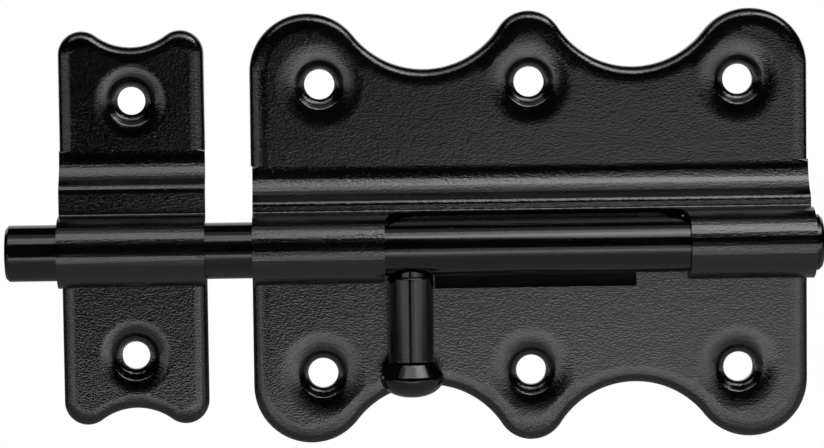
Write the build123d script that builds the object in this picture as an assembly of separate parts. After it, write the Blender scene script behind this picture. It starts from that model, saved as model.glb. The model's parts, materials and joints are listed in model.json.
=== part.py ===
"""A door latch with a sliding round bolt: base plate, strike plate, bolt rod and knob.

The latch is drawn as it hangs on a door. X runs along the rod, Z is up, and the front faces -Y.
The backs of both plates lie on the plane y = 0, and the origin is the middle of the base plate's
screw pattern. Depths are measured from that plane towards the front.
"""

import os
from math import acos, asin, atan2, cos, hypot, radians, sin, sqrt

from build123d import *

os.makedirs("parts", exist_ok=True)

# Sheet
SHEET = 1.2
FLANGE_DEPTH = 2.8
RIM_RADIUS = 1.8
CROWN_DROP = 0.4

# Base plate
BASE_WIDTH = 100.0
BASE_HALF_HEIGHT = 38.7
BASE_END_LOBE = 10.4
BASE_MIDDLE_LOBE = 6.3
BASE_VALLEY = 16.0
BASE_CROWN = 3.4
BASE_SCREW_X = 37.5
BASE_SCREW_Z = 26.0
BASE_HOLE = 2.7
BASE_BEND_START = 14.4
BASE_SHOULDER = 1.25

# Strike plate
STRIKE_X = -71.1
STRIKE_Z = 0.6
STRIKE_WIDTH = 26.0
STRIKE_HALF_HEIGHT = 35.4
STRIKE_LOBE = 4.2
STRIKE_VALLEY = 10.5
STRIKE_CROWN = 2.6
STRIKE_SCREW_Z = 22.9
STRIKE_HOLE = 2.5
STRIKE_BEND_START = 17.6
STRIKE_SHOULDER = 2.2

# Dish pressed back around each screw hole
BASE_DISH = 8.2
STRIKE_DISH = 6.8
DISH_DROP = 0.45
SEAT_RADIUS = 3.2
LIP_RADIUS = 0.8

# Rod and the barrels rolled around it
ROD_RADIUS = 5.0
ROD_Z = -2.9
ROD_DEPTH = 8.8
ROD_LEFT = -93.3
ROD_LENGTH = 144.8
ROD_CHAMFER = 0.6
BORE_GAP = 0.15
LEDGE_DEPTH = 6.6
BEND_RADIUS = 7.0
VALLEY_RADIUS = 0.6
CURL_ANGLE = 45.0
LEFT_BARREL = (-49.7, -26.4)
RIGHT_BARREL = (27.8, 50.0)

# Window between the barrels, cut slanting forwards and upwards
WINDOW_SLANT = 45.0
WINDOW_REACH = 5.86
WINDOW_CORNER = 6.1
WINDOW_TONGUE_TOP = 7.5
WINDOW_RELIEF = 0.5

# Pocket behind the rod, pressed back onto the door, with a lip that rises under the rod
POCKET_LEFT = -17.3
POCKET_RIGHT = 19.0
POCKET_DROP = 7.6
POCKET_LIP = 3.8
POCKET_LIP_RISE = 1.1
POCKET_EDGE = 0.4

# Knob
KNOB_X = -21.7
KNOB_TENON = 3.0
KNOB_TENON_RISE = 2.0
KNOB_SHANK = 4.0
KNOB_SHANK_START = 5.0
KNOB_SHANK_CHAMFER = 0.4
KNOB_NECK_END = 20.4
KNOB_SHOULDER = 22.6
KNOB_HEAD = 5.7
KNOB_HEAD_BAND = 0.3
KNOB_FLARE = (0.35, -1)
KNOB_END = 26.7

BACK = FLANGE_DEPTH - SHEET
BORE = ROD_RADIUS + BORE_GAP
BARREL = BORE + SHEET
MIDLINE = BORE + SHEET / 2
FLANGE_MIDDLE = FLANGE_DEPTH - SHEET / 2
CURL = radians(CURL_ANGLE)
FOOT_RADIUS = (ROD_DEPTH - FLANGE_MIDDLE - MIDLINE * sin(CURL)) / (1 + sin(CURL))
FOOT_HEIGHT = -(MIDLINE + FOOT_RADIUS) * cos(CURL)
TOLERANCE = 1e-4
FRONT = (0, -1, 0)


def side_plane(x):
    """Plane across the rod at x, with depth to the right and height above the rod's axis up."""
    return Plane(origin=(x, 0, ROD_Z), x_dir=(0, -1, 0), z_dir=(-1, 0, 0))


def front_plane(depth=0.0):
    """Plane parallel to the door at a depth, with X to the right, Z up and a normal to the front."""
    return Plane(origin=(0, -depth, 0), x_dir=(1, 0, 0), z_dir=(0, -1, 0))


def spread(face, left, right):
    """Extrude a section so that it runs from left to right along the rod."""
    return extrude(side_plane(right) * face, amount=right - left, dir=(-1, 0, 0))


def at_angle(centre, radius, angle):
    """The point of a circle at an angle in radians."""
    return (centre[0] + radius * cos(angle), centre[1] + radius * sin(angle))


def arc(centre, radius, start, end):
    """An arc of a circle between two angles in radians."""
    points = [at_angle(centre, radius, a) for a in (start, (start + end) / 2, end)]
    return ThreePointArc(*points)


def bend(centre, radius, start, end, side):
    """One bend of the sheet as drawn on its front (side 1) or its back (side -1) face."""
    away = 1 if end > start else -1
    return arc(centre, radius - side * away * SHEET / 2, start, end)


def sheet_section(bends, first, last):
    """Face of a bent sheet from the midline's first point, round the bends, to its last point.

    Each bend is (centre, midline radius, start angle, end angle) and the runs between bends are
    straight, so front and back follow from the same bends.
    """
    sides = []
    for side in (1, -1):
        edges = [bend(*b, side) for b in bends]
        start = (first[0] + side * SHEET / 2, first[1])
        end = (last[0] + side * SHEET / 2, last[1])
        stops = [start] + [p for e in edges for p in (e @ 0, e @ 1)] + [end]
        lines = [
            Line(stops[i], stops[i + 1])
            for i in range(0, len(stops), 2)
            if (Vector(stops[i]) - Vector(stops[i + 1])).length > TOLERANCE
        ]
        sides.append((edges + lines, start, end))
    caps = [Line(sides[0][i], sides[1][i]) for i in (1, 2)]
    return make_face(Curve() + (sides[0][0] + sides[1][0] + caps))


def barrel_section(bend_start, shoulder, top, bottom):
    """Section of the sheet: upper flange, step out, ledge, barrel and lower flange."""
    turn = acos(1 - (LEDGE_DEPTH - FLANGE_DEPTH) / (BEND_RADIUS + shoulder))
    hollow = (FLANGE_DEPTH + BEND_RADIUS, bend_start)
    drop = (BEND_RADIUS + shoulder) * sin(turn)
    round_out = (LEDGE_DEPTH - shoulder, bend_start - drop)
    reach = BARREL + VALLEY_RADIUS
    valley_depth = LEDGE_DEPTH + VALLEY_RADIUS
    valley = (valley_depth, sqrt(reach**2 - (ROD_DEPTH - valley_depth) ** 2))
    lean = atan2(valley[1], valley[0] - ROD_DEPTH)
    straight = radians(180)
    low = radians(270) - CURL
    foot = at_angle((ROD_DEPTH, 0), MIDLINE + FOOT_RADIUS, low)
    return sheet_section(
        [
            (hollow, BEND_RADIUS + SHEET / 2, straight, straight + turn),
            (round_out, shoulder - SHEET / 2, turn, 0),
            (valley, VALLEY_RADIUS + SHEET / 2, straight, lean + straight),
            ((ROD_DEPTH, 0), MIDLINE, lean, low - 2 * straight),
            (foot, FOOT_RADIUS, low - straight, straight),
        ],
        (FLANGE_MIDDLE, top),
        (FLANGE_MIDDLE, bottom),
    )


def touch(centre, radius, other):
    """The point of a circle that faces another circle's centre."""
    return at_angle(centre, radius, atan2(other[1] - centre[1], other[0] - centre[0]))


def arc_towards(centre, radius, start, end):
    """The shorter arc of a circle between two of its points."""
    middle = (start[0] + end[0] - 2 * centre[0], start[1] + end[1] - 2 * centre[1])
    return ThreePointArc(start, at_angle(centre, radius, atan2(middle[1], middle[0])), end)


def valley_between(lobe, lobe_radius, next_lobe, next_radius, valley_radius):
    """Centre of a hollow arc that touches two lobes from above."""
    a, b = lobe_radius + valley_radius, next_radius + valley_radius
    across, up = next_lobe[0] - lobe[0], next_lobe[1] - lobe[1]
    apart = hypot(across, up)
    along = (a**2 - b**2 + apart**2) / (2 * apart)
    off = sqrt(a**2 - along**2)
    turn = 1 if across < 0 else -1
    return (
        lobe[0] + (along * across + turn * off * up) / apart,
        lobe[1] + (along * up - turn * off * across) / apart,
    )


def scalloped_outline(half_width, half_height, lobes, valley_radius):
    """Outline with round lobes along its top and, mirrored, its bottom.

    The lobes are (x, radius) from right to left, and hollow arcs join each one to the next.
    """
    discs = [((x, half_height - r), r) for x, r in lobes]
    edges = []
    start = (half_width, discs[0][0][1])
    for (lobe, radius), (next_lobe, next_radius) in zip(discs, discs[1:]):
        valley = valley_between(lobe, radius, next_lobe, next_radius, valley_radius)
        leave, meet = touch(lobe, radius, valley), touch(next_lobe, next_radius, valley)
        edges.append(arc_towards(lobe, radius, start, leave))
        edges.append(arc_towards(valley, valley_radius, leave, meet))
        start = meet
    last, radius = discs[-1]
    edges.append(arc_towards(last, radius, start, (-half_width, last[1])))
    edges += [mirror(e, about=Plane.XZ) for e in edges]
    side = discs[0][0][1]
    edges += [Line((x, side), (x, -side)) for x in (half_width, -half_width)]
    return make_face(Curve() + edges)


def block(x_span, depth_span, z_span):
    """A box given by its spans along X, depth and Z."""
    size = [b - a for a, b in (x_span, depth_span, z_span)]
    middle = [(a + b) / 2 for a, b in (x_span, depth_span, z_span)]
    return Pos(middle[0], -middle[1], middle[2]) * Box(*size)


def face_edges(solid, depth):
    """The edges that lie in the plane at a depth."""
    return solid.edges().filter_by_position(Axis.Y, -depth - TOLERANCE, -depth + TOLERANCE)


def crowned(solid, depth, width, rim_radius):
    """Ease a slab's front down towards its edge, then round the edge over."""
    front = solid.faces().sort_by(Axis.Y)[0]
    solid = chamfer(front.edges(), width, CROWN_DROP, reference=front)
    return fillet(face_edges(solid, depth - CROWN_DROP), rim_radius)


def cushion(outline, crown_width):
    """The full shape under a pressed tray's front, with its crown and rounded rim."""
    slab = extrude(front_plane() * outline, amount=FLANGE_DEPTH, dir=FRONT)
    return crowned(slab, FLANGE_DEPTH, crown_width, RIM_RADIUS)


def tray(outline, crown_width):
    """A shallow pressed tray: crowned front, rounded rim turned back to the door, hollow back."""
    inner = extrude(front_plane() * offset(outline, -SHEET), amount=BACK, dir=FRONT)
    inner_width = crown_width - SHEET / 2
    return cushion(outline, crown_width) - crowned(inner, BACK, inner_width, RIM_RADIUS - SHEET)


def soft_fall(outer_radius, inner_radius, depth):
    """An arc that leaves the flat sheet at one radius and steepens to the dish's lip."""
    run = outer_radius - inner_radius
    radius = (run**2 + DISH_DROP**2) / (2 * DISH_DROP)
    quarter = radians(90)
    return arc((outer_radius, depth - radius), radius, quarter, quarter + asin(run / radius))


def dish(hole_radius, outer_radius):
    """The sheet around one screw hole, dished back until it lies on the door."""
    lip_depth = FLANGE_DEPTH - DISH_DROP
    lip = (SEAT_RADIUS + lip_depth - SHEET, lip_depth)
    seat = (SEAT_RADIUS, SHEET)
    back_seat = (SEAT_RADIUS + SHEET * (sqrt(2) - 1), 0)
    back_lip = (back_seat[0] + lip_depth - SHEET, lip_depth - SHEET)
    corners = [lip, seat, (hole_radius, SHEET), (hole_radius, 0), back_seat, back_lip]
    edges = [soft_fall(outer_radius, lip[0], FLANGE_DEPTH)]
    edges.append(soft_fall(outer_radius, back_lip[0], BACK))
    edges += [Line(a, b) for a, b in zip(corners, corners[1:])]
    edges += [Line((outer_radius, BACK), (outer_radius, FLANGE_DEPTH))]
    face = make_face(Curve() + edges)
    face = fillet(face.vertices().sort_by_distance((*lip, 0))[0], LIP_RADIUS)
    return revolve(Plane(origin=(0, 0, 0), x_dir=(1, 0, 0), z_dir=(0, 0, -1)) * face, Axis.Y)


def with_dishes(plate, places, hole_radius, dish_radius, front):
    """The plate with a dish at each (x, z) place, kept under the crowned front that it is cut in."""
    disc = extrude(front_plane(-1) * Circle(dish_radius), amount=FLANGE_DEPTH + 2, dir=FRONT)
    ring = dish(hole_radius, dish_radius)
    for x, z in places:
        plate = plate - Pos(x, 0, z) * disc + (Pos(x, 0, z) * ring & front)
    return plate


def without_band(plate, x_span, bend_start):
    """The plate with the band taken out that the rolled middle section fills."""
    band = (ROD_Z + FOOT_HEIGHT, ROD_Z + bend_start)
    return plate - block(x_span, (-1, FLANGE_DEPTH + 1), band)


def window_cutter(window):
    """The tool that opens the window: a round-cornered prism that slants forwards and up."""
    middle = (window[0] + window[1]) / 2
    slant = Plane(
        origin=(middle, -ROD_DEPTH, ROD_Z),
        x_dir=(1, 0, 0),
        z_dir=(0, -sin(radians(WINDOW_SLANT)), cos(radians(WINDOW_SLANT))),
    )
    width, height = window[1] - window[0], WINDOW_REACH + BASE_HALF_HEIGHT
    opening = Pos(0, WINDOW_REACH - height / 2) * RectangleRounded(width, height, WINDOW_CORNER)
    return extrude(slant * opening, amount=BASE_HALF_HEIGHT, both=True)


def add_tongue(plate, window):
    """The flange's tongue that stands behind the rod in the window, with its pressed pocket."""
    top, foot, floor = (ROD_Z + s for s in (WINDOW_TONGUE_TOP, FOOT_HEIGHT, -POCKET_DROP))
    sides = (window[0] + WINDOW_RELIEF, window[1] - WINDOW_RELIEF)
    plate += block(sides, (BACK, FLANGE_DEPTH), (foot - SHEET, top))
    pocket = (POCKET_LEFT, POCKET_RIGHT)
    plate -= block(pocket, (-1, FLANGE_DEPTH + 1), (floor, top + 1))
    edge = face_edges(plate, FLANGE_DEPTH).filter_by(Axis.X).sort_by_distance(
        (sum(pocket) / 2, -FLANGE_DEPTH, floor)
    )[0]
    plate = fillet(edge, POCKET_EDGE)
    for x in (POCKET_LEFT - SHEET, POCKET_RIGHT):
        plate += block((x, x + SHEET), (0, FLANGE_DEPTH), (floor, top))
    front = [(SHEET, WINDOW_TONGUE_TOP), (SHEET, -POCKET_LIP)]
    front.append((SHEET + POCKET_LIP_RISE, -POCKET_DROP))
    back = [(depth - SHEET, height) for depth, height in reversed(front)]
    return plate + spread(make_face(Polyline(*front, *back, close=True)), *pocket)


def make_base_plate():
    """The base plate: one sheet with two barrels, a window between them and six dished holes."""
    half = BASE_WIDTH / 2
    end_x = half - BASE_END_LOBE
    lobes = [(end_x, BASE_END_LOBE), (0, BASE_MIDDLE_LOBE), (-end_x, BASE_END_LOBE)]
    outline = scalloped_outline(half, BASE_HALF_HEIGHT, lobes, BASE_VALLEY)
    plate = tray(outline, BASE_CROWN)
    plate = without_band(plate, (-half - 1, half + 1), BASE_BEND_START)
    section = barrel_section(BASE_BEND_START, BASE_SHOULDER, BASE_BEND_START, FOOT_HEIGHT)
    window = (LEFT_BARREL[1], RIGHT_BARREL[0])
    plate += spread(section, *LEFT_BARREL) + spread(section, *RIGHT_BARREL)
    plate += spread(section, *window) - window_cutter(window)
    plate = add_tongue(plate, window)
    places = [(x, z) for x in (-BASE_SCREW_X, 0, BASE_SCREW_X) for z in (BASE_SCREW_Z, -BASE_SCREW_Z)]
    return with_dishes(plate, places, BASE_HOLE, BASE_DISH, cushion(outline, BASE_CROWN))


def make_strike_plate():
    """The strike plate: one sheet with a single barrel across its whole width."""
    half = STRIKE_WIDTH / 2
    lobe_x = half - STRIKE_LOBE
    lobes = [(lobe_x, STRIKE_LOBE), (-lobe_x, STRIKE_LOBE)]
    outline = scalloped_outline(half, STRIKE_HALF_HEIGHT, lobes, STRIKE_VALLEY)
    centre = Pos(0, 0, STRIKE_Z)
    plate = centre * tray(outline, STRIKE_CROWN)
    plate = without_band(plate, (-half - 1, half + 1), STRIKE_BEND_START)
    section = barrel_section(STRIKE_BEND_START, STRIKE_SHOULDER, STRIKE_BEND_START, FOOT_HEIGHT)
    plate += spread(section, -half, half)
    places = [(0, STRIKE_Z + STRIKE_SCREW_Z), (0, STRIKE_Z - STRIKE_SCREW_Z)]
    front = centre * cushion(outline, STRIKE_CROWN)
    return Pos(STRIKE_X, 0, 0) * with_dishes(plate, places, STRIKE_HOLE, STRIKE_DISH, front)


def upright(radius, low, high):
    """A cylinder along the knob's axis between two heights above the rod's axis."""
    base = Plane(origin=(KNOB_X, -ROD_DEPTH, ROD_Z + low))
    return extrude(base * Circle(radius), amount=high - low)


def make_bolt_rod():
    """The round bolt with chamfered ends and the blind cross hole that holds the knob."""
    start = Plane(origin=(ROD_LEFT, -ROD_DEPTH, ROD_Z), z_dir=(1, 0, 0))
    rod = extrude(start * Circle(ROD_RADIUS), amount=ROD_LENGTH)
    rod = chamfer(rod.edges().filter_by(GeomType.CIRCLE), ROD_CHAMFER)
    return rod - upright(KNOB_TENON, -BARREL, KNOB_TENON_RISE)


def make_knob():
    """The knob: tenon, shank and mushroom head turned from one bar, hanging down."""
    with BuildSketch(Plane.XZ) as half:
        with BuildLine():
            Polyline(
                (0, KNOB_TENON_RISE),
                (KNOB_TENON, KNOB_TENON_RISE),
                (KNOB_TENON, -KNOB_SHANK_START),
                (KNOB_SHANK - KNOB_SHANK_CHAMFER, -KNOB_SHANK_START),
                (KNOB_SHANK, -KNOB_SHANK_START - KNOB_SHANK_CHAMFER),
                (KNOB_SHANK, -KNOB_NECK_END),
            )
            TangentArc(
                (KNOB_SHANK, -KNOB_NECK_END), (KNOB_HEAD, -KNOB_SHOULDER), tangent=KNOB_FLARE
            )
            Line((KNOB_HEAD, -KNOB_SHOULDER), (KNOB_HEAD, -KNOB_SHOULDER - KNOB_HEAD_BAND))
            Spline(
                (KNOB_HEAD, -KNOB_SHOULDER - KNOB_HEAD_BAND),
                (0, -KNOB_END),
                tangents=[(0, -1), (-1, 0)],
            )
            Line((0, -KNOB_END), (0, KNOB_TENON_RISE))
        make_face()
    return Pos(KNOB_X, -ROD_DEPTH, ROD_Z) * revolve(half.sketch, Axis.Z)


export_step(make_base_plate(), "parts/base_plate.step")
export_step(make_strike_plate(), "parts/strike_plate.step")
export_step(make_bolt_rod(), "parts/bolt_rod.step")
export_step(make_knob(), "parts/handle_pin.step")
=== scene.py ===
"""Looks, light and camera of the sliding bolt latch.

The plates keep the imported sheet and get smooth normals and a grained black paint. The round bolt
and its knob are turned surfaces with finer edges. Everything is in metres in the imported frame:
X runs along the bolt, Z is up and the front faces -Y.
"""

from __future__ import annotations

import json
import logging
import math
from dataclasses import dataclass
from enum import Enum

import bmesh
import bpy
import numpy as np
from mathutils import Matrix, Vector

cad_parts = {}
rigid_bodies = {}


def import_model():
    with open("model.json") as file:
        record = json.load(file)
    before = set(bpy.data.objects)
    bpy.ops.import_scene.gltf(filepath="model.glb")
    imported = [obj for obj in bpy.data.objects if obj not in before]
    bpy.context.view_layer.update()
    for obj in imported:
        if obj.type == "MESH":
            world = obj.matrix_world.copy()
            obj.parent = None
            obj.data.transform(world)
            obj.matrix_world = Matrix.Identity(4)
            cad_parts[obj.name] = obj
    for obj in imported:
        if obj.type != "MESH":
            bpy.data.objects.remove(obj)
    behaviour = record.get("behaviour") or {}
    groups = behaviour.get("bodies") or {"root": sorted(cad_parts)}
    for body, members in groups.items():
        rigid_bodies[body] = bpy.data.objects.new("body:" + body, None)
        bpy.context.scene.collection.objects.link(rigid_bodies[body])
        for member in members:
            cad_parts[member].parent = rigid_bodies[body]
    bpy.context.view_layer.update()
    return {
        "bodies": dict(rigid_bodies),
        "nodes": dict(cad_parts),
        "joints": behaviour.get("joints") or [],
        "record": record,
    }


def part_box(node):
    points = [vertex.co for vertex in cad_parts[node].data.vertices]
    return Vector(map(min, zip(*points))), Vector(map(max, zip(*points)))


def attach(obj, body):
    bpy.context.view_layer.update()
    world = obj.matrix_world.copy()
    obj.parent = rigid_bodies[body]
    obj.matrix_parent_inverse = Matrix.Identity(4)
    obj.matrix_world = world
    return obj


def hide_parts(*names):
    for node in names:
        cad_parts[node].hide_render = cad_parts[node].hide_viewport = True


log = logging.getLogger("latch")

MM = 0.001
Pair = tuple[float, float]
Triple = tuple[float, float, float]
EVEN: Triple = (1.0, 1.0, 1.0)

# Face strengths as the Weighted Normal modifier reads them from the mesh
FACE_STRENGTH = "__mod_weightednormals_faceweight"
STRONG_FACE = 16384
WEAK_FACE = -16384
FLAT_COSINE = 0.99999

# The modifier's strongest preference for large faces
LARGE_FACES_FIRST = 100

# Socket numbers of the Map Range node and of the Mix node in colour mode
RANGE_VALUE, RANGE_LOW, RANGE_HIGH = 0, 1, 2
MIX_FACTOR, MIX_FIRST, MIX_SECOND, MIX_COLOUR = 0, 6, 7, 2

MERGE_DISTANCE = 1e-7
TURNED_SMOOTH_DEGREES = 40.0
AXIS_GAP = 0.02 * MM


class Axis(Enum):
    """The axes, by their place in a vector."""

    X = 0
    Y = 1
    Z = 2


class Slot(Enum):
    """The record's material slots."""

    PLATE = "plate_paint"
    ROD = "rod_paint"


class Body(Enum):
    """The bodies that the pieces ride on."""

    PLATES = "plates"
    BOLT = "bolt"


# Shader building


class Signal:
    """A shader value whose operators add the matching Math nodes."""

    def __init__(self, graph: Graph, socket: bpy.types.NodeSocket) -> None:
        """Keep the graph and the output socket that carries the value."""
        self.graph = graph
        self.socket = socket

    def math(self, operation: str, *others: Signal | float) -> Signal:
        """Combine this value with others.

        Args:
            operation: the Math node's operation.
            others: further operands.

        Returns:
            The result as a new signal.
        """
        inputs = dict(enumerate([self, *others]))
        node = self.graph.node("ShaderNodeMath", {"operation": operation}, inputs)
        return Signal(self.graph, node.outputs[0])

    def __add__(self, other: Signal | float) -> Signal:
        """This value plus another."""
        return self.math("ADD", other)

    def __mul__(self, other: Signal | float) -> Signal:
        """This value times another."""
        return self.math("MULTIPLY", other)

    def clamped(self, low: float, high: float) -> Signal:
        """Map low..high to 0..1 smoothly and hold it there.

        Args:
            low: the value that becomes 0.
            high: the value that becomes 1.

        Returns:
            The mapped value.
        """
        settings = {"interpolation_type": "SMOOTHSTEP"}
        inputs = {RANGE_VALUE: self, RANGE_LOW: low, RANGE_HIGH: high}
        node = self.graph.node("ShaderNodeMapRange", settings, inputs)
        return Signal(self.graph, node.outputs[0])

    def absolute(self) -> Signal:
        """The value without its sign."""
        return self.math("ABSOLUTE")

    def most(self, other: Signal | float) -> Signal:
        """The larger of this value and another."""
        return self.math("MAXIMUM", other)


class Graph:
    """A node tree that is filled from Python expressions."""

    def __init__(self, tree: bpy.types.NodeTree) -> None:
        """Start from an empty tree."""
        self.tree = tree
        tree.nodes.clear()

    def node(
        self, kind: str, settings: dict | None = None, inputs: dict | None = None
    ) -> bpy.types.Node:
        """Add one node.

        Args:
            kind: the node's type name.
            settings: attributes of the node that are set first.
            inputs: socket names or numbers with values, signals or sockets.

        Returns:
            The new node.
        """
        made = self.tree.nodes.new(kind)
        for key, value in (settings or {}).items():
            setattr(made, key, value)
        for key, value in (inputs or {}).items():
            if isinstance(value, Signal):
                value = value.socket
            if isinstance(value, bpy.types.NodeSocket):
                self.tree.links.new(value, made.inputs[key])
            else:
                made.inputs[key].default_value = value
        return made

    def place(self, stretch: Triple = EVEN) -> bpy.types.NodeSocket:
        """Object coordinates, scaled along each axis.

        Args:
            stretch: the scale along X, Y and Z.

        Returns:
            The vector socket.
        """
        coords = self.node("ShaderNodeTexCoord").outputs["Object"]
        return self.node("ShaderNodeMapping", None, {"Vector": coords, "Scale": stretch}).outputs[0]

    def noise(self, scale: float, detail: float = 2.0, stretch: Triple = EVEN) -> Signal:
        """Soft noise on object coordinates.

        Args:
            scale: cells per metre.
            detail: how many finer layers are added.
            stretch: the scale of the coordinates along X, Y and Z.

        Returns:
            The noise, about 0 to 1 around a half.
        """
        inputs = {"Vector": self.place(stretch), "Scale": scale, "Detail": detail}
        return Signal(self, self.node("ShaderNodeTexNoise", None, inputs).outputs[0])

    def normal(self, axis: Axis) -> Signal:
        """One part of the object-space normal.

        Args:
            axis: the axis along which the part is taken.

        Returns:
            That part, from -1 to 1.
        """
        coords = self.node("ShaderNodeTexCoord").outputs["Normal"]
        split = self.node("ShaderNodeSeparateXYZ", None, {0: coords})
        return Signal(self, split.outputs[axis.value])

    def mix(self, factor: Signal, first: Triple, second: Triple) -> bpy.types.NodeSocket:
        """Blend two colours.

        Args:
            factor: 0 for the first colour, 1 for the second.
            first: red, green and blue.
            second: red, green and blue.

        Returns:
            The colour socket.
        """
        inputs = {MIX_FACTOR: factor, MIX_FIRST: (*first, 1.0), MIX_SECOND: (*second, 1.0)}
        return self.node("ShaderNodeMix", {"data_type": "RGBA"}, inputs).outputs[MIX_COLOUR]

    def finish(self, shader: bpy.types.Node) -> None:
        """Send a shader to the material's output."""
        self.node("ShaderNodeOutputMaterial", None, {"Surface": shader.outputs[0]})


@dataclass(frozen=True)
class BlackPaint:
    """Gloss black paint on steel, with a fine stretched grain and rare specks of dust.

    Scales are in cells per metre, and each range is what a smooth step maps to 0 and 1.

    Attributes:
        grain: the grain's height in metres where the surface faces the front or the back.
        grain_on_bends: its height elsewhere.
        roughness: the least roughness of the gloss.
        specks: how strongly the dust shows.
        gloss_index: the index of refraction, which sets how strongly the paint mirrors.
        black: the paint's colour.
        dust: the specks' colour.
        stretch: the grain's scale along X, Y and Z.
        flat_range: the range of the normal's Y part between bends and flats.
        grain_scale: how fine the grain is.
        grain_detail: how many finer layers the grain has.
        grain_share: how much of the height is grain.
        peel_scale: how fine the soft peel under the grain is.
        peel_share: how much of the height is peel.
        patch_scale: how fine the dull patches are.
        patch_range: the range of the noise that makes the patches.
        patch_dullness: the roughness that a patch adds.
        speck_scale: how fine the specks are.
        speck_range: the range of the noise that makes the specks.
        speck_dullness: the roughness that a speck adds.
    """

    name: str
    grain: float
    grain_on_bends: float
    roughness: float
    specks: float
    gloss_index: float = 1.62
    black: Triple = (0.0015, 0.0015, 0.0016)
    dust: Triple = (0.045, 0.045, 0.046)
    stretch: Triple = (0.6, 1.0, 1.0)
    flat_range: Pair = (0.93, 0.995)
    grain_scale: float = 3300.0
    grain_detail: float = 3.0
    grain_share: float = 0.8
    peel_scale: float = 420.0
    peel_share: float = 0.4
    patch_scale: float = 60.0
    patch_range: Pair = (0.3, 0.7)
    patch_dullness: float = 0.05
    speck_scale: float = 1900.0
    speck_range: Pair = (0.74, 0.8)
    speck_dullness: float = 0.2

    def height(self, graph: Graph) -> Signal:
        """The height of the grain and the softer peel under it.

        Args:
            graph: the paint's node tree.

        Returns:
            The height in metres.
        """
        flat = graph.normal(Axis.Y).absolute().clamped(*self.flat_range)
        fine = graph.noise(self.grain_scale, self.grain_detail, self.stretch)
        peel = graph.noise(self.peel_scale, stretch=self.stretch)
        depth = flat * (self.grain - self.grain_on_bends) + self.grain_on_bends
        return (fine * self.grain_share + peel * self.peel_share) * depth

    def build(self) -> bpy.types.Material:
        """Make the paint.

        Returns:
            The material.
        """
        material = bpy.data.materials.new(self.name)
        material.use_nodes = True
        graph = Graph(material.node_tree)
        bump = graph.node(
            "ShaderNodeBump", None, {"Strength": 1.0, "Distance": 1.0, "Height": self.height(graph)}
        )
        patches = graph.noise(self.patch_scale).clamped(*self.patch_range)
        speck = graph.noise(self.speck_scale, detail=1.0).clamped(*self.speck_range) * self.specks
        dull = patches * self.patch_dullness + speck * self.speck_dullness + self.roughness
        inputs = {
            "Base Color": graph.mix(speck, self.black, self.dust),
            "Roughness": dull,
            "IOR": self.gloss_index,
            "Normal": bump.outputs[0],
        }
        graph.finish(graph.node("ShaderNodeBsdfPrincipled", None, inputs))
        return material


SHEET_PAINT = BlackPaint(
    name="grained black paint",
    grain=4.6e-5,
    grain_on_bends=5.6e-5,
    roughness=0.1,
    specks=0.5,
)
BAR_PAINT = BlackPaint(
    name="smooth black paint",
    grain=1.0e-5,
    grain_on_bends=0.9e-5,
    roughness=0.1,
    specks=1.0,
    gloss_index=1.52,
)


@dataclass(frozen=True)
class StudioSurface:
    """A pale matt surface that shows as plain white to the camera and, if wanted, in gloss."""

    name: str
    colour: Triple
    seen_in_gloss: bool

    def build(self) -> bpy.types.Material:
        """Make the surface.

        Returns:
            The material.
        """
        material = bpy.data.materials.new(self.name)
        material.use_nodes = True
        graph = Graph(material.node_tree)
        path = graph.node("ShaderNodeLightPath")
        seen = Signal(graph, path.outputs["Is Camera Ray"])
        if self.seen_in_gloss:
            seen = seen.most(Signal(graph, path.outputs["Is Glossy Ray"]))
            seen = seen.most(Signal(graph, path.outputs["Is Transmission Ray"]))
        matt = graph.node("ShaderNodeBsdfDiffuse", None, {"Color": (*self.colour, 1.0)})
        white = graph.node("ShaderNodeEmission", None, {"Strength": 1.0})
        shader = graph.node(
            "ShaderNodeMixShader", None, {0: seen, 1: matt.outputs[0], 2: white.outputs[0]}
        )
        graph.finish(shader)
        return material


# Meshes


def mesh_object(name: str, points: np.ndarray, faces: list[list[int]]) -> bpy.types.Object:
    """Put points and faces into a new object.

    Args:
        name: the object's name.
        points: N by 3, in metres.
        faces: vertex numbers, one list for each face.

    Returns:
        The object, linked to the scene.
    """
    mesh = bpy.data.meshes.new(name)
    mesh.from_pydata(points.tolist(), [], faces)
    made = bpy.data.objects.new(name, mesh)
    bpy.context.scene.collection.objects.link(made)
    return made


def turned(
    name: str, profile: np.ndarray, centre: Vector, along: Axis, sides: int
) -> bpy.types.Object:
    """A profile turned about an axis: point = centre + height * axis + radius * (cos t, sin t).

    Args:
        name: the object's name.
        profile: N by 2 rows of radius and height, with no point on the axis.
        centre: where height 0 lies.
        along: the axis.
        sides: how many steps go round.

    Returns:
        The closed object.
    """
    turn = np.linspace(0, 2 * math.pi, sides, endpoint=False)
    radius, height = profile[:, :1], profile[:, 1:]
    ring = np.stack([radius * np.cos(turn), radius * np.sin(turn), height + 0 * turn], axis=-1)
    points = np.roll(ring.reshape(-1, 3), along.value + 1, axis=1)
    rows, column = np.arange(len(profile) - 1)[:, None], np.arange(sides)[None, :]
    after = (column + 1) % sides
    corners = [rows * sides + column, rows * sides + after]
    corners += [(rows + 1) * sides + after, (rows + 1) * sides + column]
    faces = np.stack(corners, axis=-1).reshape(-1, 4).tolist()
    faces.append(list(range(sides))[::-1])
    faces.append(list(range((len(profile) - 1) * sides, len(profile) * sides)))
    made = mesh_object(name, points + np.array(centre), faces)
    outwards(made)
    return made


def outwards(piece: bpy.types.Object) -> None:
    """Turn every face of a closed piece to the outside.

    Args:
        piece: the object, which is changed in place.
    """
    work = bmesh.new()
    work.from_mesh(piece.data)
    bmesh.ops.recalc_face_normals(work, faces=work.faces)
    work.to_mesh(piece.data)
    work.free()


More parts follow.
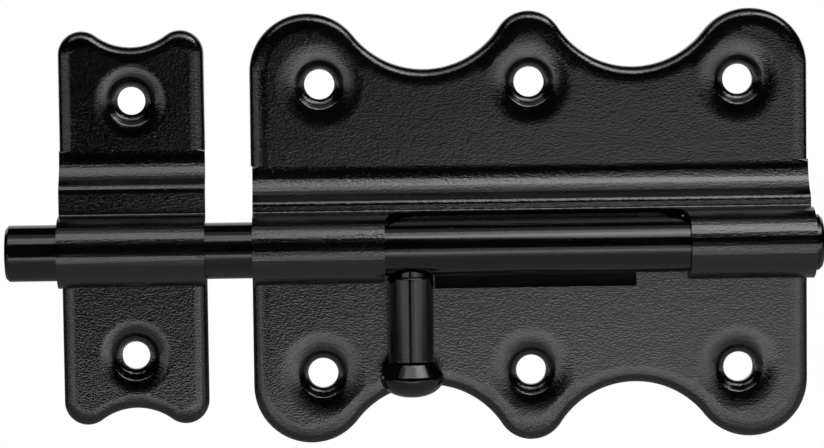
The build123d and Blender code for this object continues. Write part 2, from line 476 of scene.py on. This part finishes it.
def smooth_by_angle(piece: bpy.types.Object, degrees: float) -> None:
    """Shade a piece smoothly and keep edges sharper than an angle.

    Args:
        piece: the object.
        degrees: the sharpest angle that is still smooth.
    """
    piece.data.shade_smooth()
    piece.data.set_sharp_from_angle(angle=math.radians(degrees))
    even = piece.modifiers.new("even normals", "WEIGHTED_NORMAL")
    even.keep_sharp = True
    even.weight = LARGE_FACES_FIRST


def strengthen_flats(piece: bpy.types.Object) -> None:
    """Let faces that look straight to the front or back decide the normals beside them.

    Args:
        piece: the plate, whose sheet lies across Y.
    """
    faces = piece.data.polygons
    normals = np.zeros(len(faces) * 3)
    faces.foreach_get("normal", normals)
    flat = np.abs(normals.reshape(-1, 3)[:, 1]) > FLAT_COSINE
    strength = np.where(flat, STRONG_FACE, WEAK_FACE).astype(np.int32)
    piece.data.attributes.new(FACE_STRENGTH, "INT", "FACE").data.foreach_set("value", strength)
    piece.modifiers["even normals"].use_face_influence = True


def rounded(corners: list[Pair], radii: list[float], steps: int = 8) -> np.ndarray:
    """A path of straight runs whose inner corners are rounded by arcs.

    Each arc touches both runs: its centre lies on the corner's bisector and its points are that
    centre plus the radius times the unit vector swept from one run's normal to the next one's.

    Args:
        corners: the path's corners.
        radii: one radius for each corner between the first and the last.
        steps: how many steps each arc has.

    Returns:
        The path's points, N by 2.
    """
    path = [np.array(corners[0])[None, :]]
    for before, corner, after, radius in zip(corners, corners[1:], corners[2:], radii):
        corner = np.array(corner)
        back = (np.array(before) - corner) / np.linalg.norm(np.array(before) - corner)
        ahead = (np.array(after) - corner) / np.linalg.norm(np.array(after) - corner)
        half = math.acos(np.clip(back @ ahead, -1, 1)) / 2
        middle = (back + ahead) / np.linalg.norm(back + ahead)
        centre = corner + middle * radius / math.sin(half)
        start = corner + back * radius / math.tan(half) - centre
        end = corner + ahead * radius / math.tan(half) - centre
        sweep = np.linspace(0, 1, steps + 1)[:, None]
        arc = start * (1 - sweep) + end * sweep
        path.append(centre + radius * arc / np.linalg.norm(arc, axis=1, keepdims=True))
    path.append(np.array(corners[-1])[None, :])
    return np.concatenate(path)


# Pieces


@dataclass
class FoldedPlate:
    """A plate folded from one sheet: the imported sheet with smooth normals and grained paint."""

    node: str
    paint: bpy.types.Material
    smooth_degrees: float = 32.0

    def build(self, frame: dict) -> bpy.types.Object:
        """Copy the sheet, merge its triangles and shade it.


        Returns:
            The visible plate.
        """
        source = frame["nodes"][self.node]
        plate = bpy.data.objects.new(self.node + "_sheet", source.data.copy())
        bpy.context.scene.collection.objects.link(plate)
        work = bmesh.new()
        work.from_mesh(plate.data)
        bmesh.ops.remove_doubles(work, verts=work.verts, dist=MERGE_DISTANCE)
        work.to_mesh(plate.data)
        work.free()
        plate.data.materials.clear()
        plate.data.materials.append(self.paint)
        smooth_by_angle(plate, self.smooth_degrees)
        strengthen_flats(plate)
        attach(plate, Body.PLATES.value)
        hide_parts(self.node)
        log.info("%s: %d faces", plate.name, len(plate.data.polygons))
        return plate


@dataclass
class RoundBolt:
    """The straight round bolt, turned about X, with softly chamfered ends."""

    paint: bpy.types.Material
    chamfer: float = 0.6 * MM
    edge: float = 0.25 * MM
    sides: int = 160

    def build(self) -> bpy.types.Object:
        """Turn the bolt from the box of its solid.

        Returns:
            The visible bolt.
        """
        low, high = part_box("bolt_rod")
        radius, length = (high.z - low.z) / 2, high.x - low.x
        centre = Vector((low.x, (low.y + high.y) / 2, (low.z + high.z) / 2))
        inner = radius - self.chamfer
        corners = [
            (AXIS_GAP, 0.0),
            (inner, 0.0),
            (radius, self.chamfer),
            (radius, length - self.chamfer),
            (inner, length),
            (AXIS_GAP, length),
        ]
        path = rounded(corners, [self.edge] * (len(corners) - 2))
        bolt = turned("bolt_rod_bar", path, centre, Axis.X, self.sides)
        bolt.data.materials.append(self.paint)
        smooth_by_angle(bolt, TURNED_SMOOTH_DEGREES)
        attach(bolt, Body.BOLT.value)
        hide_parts("bolt_rod")
        log.info("%s: radius %.1f mm", bolt.name, radius / MM)
        return bolt


@dataclass
class MushroomKnob:
    """The knob: a straight shank that flares into a low mushroom head, turned about Z.

    Heights run down from the bolt's axis.

    Attributes:
        tenon: the radius of the part inside the bolt.
        shank: the shank's radius.
        shank_top: the height where the shank starts.
        neck: the height where it flares.
        shoulder: the height where the flare meets the head's rim.
        head_lean: how far the rim's top stands inside the head's radius.
        head_band: how tall the rim is.
        tenon_radii: the radii of the tenon's end and of its foot.
        shank_edge: the radius of the shank's upper edge.
        flare: the radius of the flare.
        head_edge: the radius of the head's upper edge.
        dome_steps: how many points the dome has.
        dome_first: the first of them, as a share of the quarter turn.
        dome_fullness: the power of the cosine, where less than 1 makes a fuller dome.
        sides: how many steps go round.
    """

    paint: bpy.types.Material
    tenon: float = 3.0 * MM
    shank: float = 4.0 * MM
    shank_top: float = 5.0 * MM
    neck: float = 20.4 * MM
    shoulder: float = 22.6 * MM
    head_lean: float = 0.15 * MM
    head_band: float = 0.5 * MM
    tenon_radii: Pair = (0.1 * MM, 0.05 * MM)
    shank_edge: float = 0.4 * MM
    flare: float = 1.6 * MM
    head_edge: float = 0.3 * MM
    dome_steps: int = 24
    dome_first: float = 0.04
    dome_fullness: float = 0.9
    sides: int = 128

    def dome(self, head: float, end: float) -> np.ndarray:
        """The head's underside: radius = head * cos(t)^fullness and depth = drop * sin(t).

        Args:
            head: the head's radius.
            end: how far the knob's end lies below the bolt's axis.

        Returns:
            The dome's points, N by 2.
        """
        top = -self.shoulder - self.head_band
        quarter = np.linspace(self.dome_first, 1, self.dome_steps)[:, None] * math.pi / 2
        radius = head * np.cos(quarter) ** self.dome_fullness
        dome = np.hstack([radius, top - (end + top) * np.sin(quarter)])
        dome[-1, 0] = AXIS_GAP
        return dome

    def build(self) -> bpy.types.Object:
        """Turn the knob from the box of its solid.

        Returns:
            The visible knob.
        """
        low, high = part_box("handle_pin")
        bar_low, bar_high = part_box("bolt_rod")
        axis_z = (bar_low.z + bar_high.z) / 2
        centre = Vector(((low.x + high.x) / 2, (low.y + high.y) / 2, axis_z))
        head, rise = (high.x - low.x) / 2, high.z - axis_z
        corners = [
            (AXIS_GAP, rise),
            (self.tenon, rise),
            (self.tenon, -self.shank_top),
            (self.shank, -self.shank_top),
            (self.shank, -self.neck),
            (head - self.head_lean, -self.shoulder),
            (head, -self.shoulder - self.head_band),
        ]
        radii = [*self.tenon_radii, self.shank_edge, self.flare, self.head_edge]
        profile = np.vstack([rounded(corners, radii), self.dome(head, axis_z - low.z)])
        knob = turned("handle_pin_knob", profile, centre, Axis.Z, self.sides)
        knob.data.materials.append(self.paint)
        smooth_by_angle(knob, TURNED_SMOOTH_DEGREES)
        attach(knob, Body.BOLT.value)
        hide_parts("handle_pin")
        log.info("%s: head %.1f mm", knob.name, 2 * head / MM)
        return knob


# Studio


@dataclass(frozen=True)
class Lamp:
    """One rectangular lamp that faces the latch.

    Attributes:
        place: where it stands.
        size: its width and height.
        power: its power in watts.
    """

    name: str
    place: Triple
    size: Pair
    power: float

    def build(self) -> None:
        """Hang the lamp."""
        data = bpy.data.lights.new(self.name, "AREA")
        data.shape = "RECTANGLE"
        data.size, data.size_y = self.size
        data.energy = self.power
        made = bpy.data.objects.new(self.name, data)
        made.location = self.place
        made.rotation_mode = "QUATERNION"
        made.rotation_quaternion = (-Vector(self.place)).to_track_quat("-Z", "Y")
        bpy.context.scene.collection.objects.link(made)


LAMPS = (
    Lamp("softbox", (0.05, -0.41, 0.63), (1.2, 0.32), 2.6),
    Lamp("side_softbox", (0.33, -0.41, 0.63), (0.8, 0.32), 2.2),
    Lamp("overhead", (0.0, -0.22, 0.74), (1.2, 0.34), 0.5),
    Lamp("low_card", (0.30, -1.6, -0.24), (0.66, 0.40), 0.85),
    Lamp("side_card", (-1.12, -1.0, -0.24), (1.9, 0.5), 4.0),
    Lamp("side_card", (1.15, -0.95, -0.24), (1.9, 0.5), 4.0),
)


@dataclass
class Studio:
    """A pale floor and wall, lamps above and low in front, and a spot on the floor."""

    floor_drop: float = 0.16
    wall_behind: float = 2.6
    floor_front: float = 0.72
    half_width: float = 3.0
    wall_height: float = 3.0
    floor_colour: Triple = (0.7, 0.7, 0.7)
    wall_colour: Triple = (0.86, 0.86, 0.86)
    spot_place: Triple = (0.0, -0.66, 0.55)
    spot_power: float = 72.0
    spot_angle: float = 62.0
    spot_radius: float = 0.05
    gloom: float = 0.004

    def sheet(self, name: str, corners: list[Triple], finish: bpy.types.Material) -> None:
        """Add one flat studio surface.

        Args:
            name: the object's name.
            corners: its four corners.
            finish: its material.
        """
        made = mesh_object(name, np.array(corners), [list(range(len(corners)))])
        made.data.materials.append(finish)

    def floor_spot(self) -> None:
        """Light the floor in front of the latch from straight above, clear of the latch."""
        data = bpy.data.lights.new("floor_spot", "SPOT")
        data.energy = self.spot_power
        data.spot_size = math.radians(self.spot_angle)
        data.spot_blend = 1.0
        data.shadow_soft_size = self.spot_radius
        made = bpy.data.objects.new("floor_spot", data)
        made.location = self.spot_place
        bpy.context.scene.collection.objects.link(made)

    def surround(self) -> None:
        """A world that is nearly dark to the latch and white to the camera."""
        world = bpy.data.worlds.new("dark studio")
        world.use_nodes = True
        graph = Graph(world.node_tree)
        seen = Signal(graph, graph.node("ShaderNodeLightPath").outputs["Is Camera Ray"])
        strength = seen * (1.0 - self.gloom) + self.gloom
        white = {"Color": (1.0, 1.0, 1.0, 1.0), "Strength": strength}
        glow = graph.node("ShaderNodeBackground", None, white)
        graph.node("ShaderNodeOutputWorld", None, {"Surface": glow.outputs[0]})
        bpy.context.scene.world = world

    def build(self) -> None:
        """Build the floor, the wall, the lamps and the dark world."""
        pale = StudioSurface("pale studio floor", self.floor_colour, False).build()
        white = StudioSurface("white studio wall", self.wall_colour, True).build()
        low, front, back = -self.floor_drop, -self.floor_front, self.wall_behind
        side, high = self.half_width, self.wall_height
        floor = [(-side, front, low), (side, front, low), (side, back, low), (-side, back, low)]
        wall = [(-side, back, low), (side, back, low), (side, back, high), (-side, back, high)]
        self.sheet("studio_floor", floor, pale)
        self.sheet("studio_wall", wall, white)
        for lamp in LAMPS:
            lamp.build()
        self.floor_spot()
        self.surround()
        log.info("studio: %d lamps", len(LAMPS) + 1)


@dataclass
class PhotoCamera:
    """A long lens, a little above the latch and a little to its left."""

    target: Triple = (-0.0214, -0.0088, 0.00135)
    distance: float = 0.6
    azimuth: float = -1.5
    elevation: float = 5.0
    roll: float = 0.7
    view_width: float = 0.1462
    sensor: float = 36.0
    clip: Pair = (0.01, 20.0)

    def build(self) -> bpy.types.Object:
        """Place the camera.

        Returns:
            The camera.
        """
        turn, rise = math.radians(self.azimuth), math.radians(self.elevation)
        back = Vector(
            (math.sin(turn) * math.cos(rise), -math.cos(turn) * math.cos(rise), math.sin(rise))
        )
        data = bpy.data.cameras.new("photo camera")
        data.sensor_width = self.sensor
        data.lens = self.sensor * self.distance / self.view_width
        data.clip_start, data.clip_end = self.clip
        camera = bpy.data.objects.new("photo camera", data)
        camera.location = Vector(self.target) + back * self.distance
        level = (-back).to_track_quat("-Z", "Y").to_matrix()
        tilt = Matrix.Rotation(math.radians(-self.roll), 3, "Z")
        camera.rotation_euler = (level @ tilt).to_euler()
        bpy.context.scene.collection.objects.link(camera)
        bpy.context.scene.camera = camera
        log.info("camera at %s", tuple(round(c, 3) for c in camera.location))
        return camera


def main() -> None:
    """Build the latch's looks, the studio and the camera, and note the sizes."""
    logging.basicConfig(level=logging.INFO, format="%(name)s: %(message)s")
    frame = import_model()
    bpy.context.scene.view_settings.view_transform = "Standard"
    sheet_paint = SHEET_PAINT.build()
    bar_paint = BAR_PAINT.build()
    FoldedPlate("base_plate", sheet_paint).build(frame)
    FoldedPlate("strike_plate", sheet_paint).build(frame)
    RoundBolt(bar_paint).build()
    MushroomKnob(bar_paint).build()
    Studio().build()
    PhotoCamera().build()


if __name__ == "__main__":
    main()
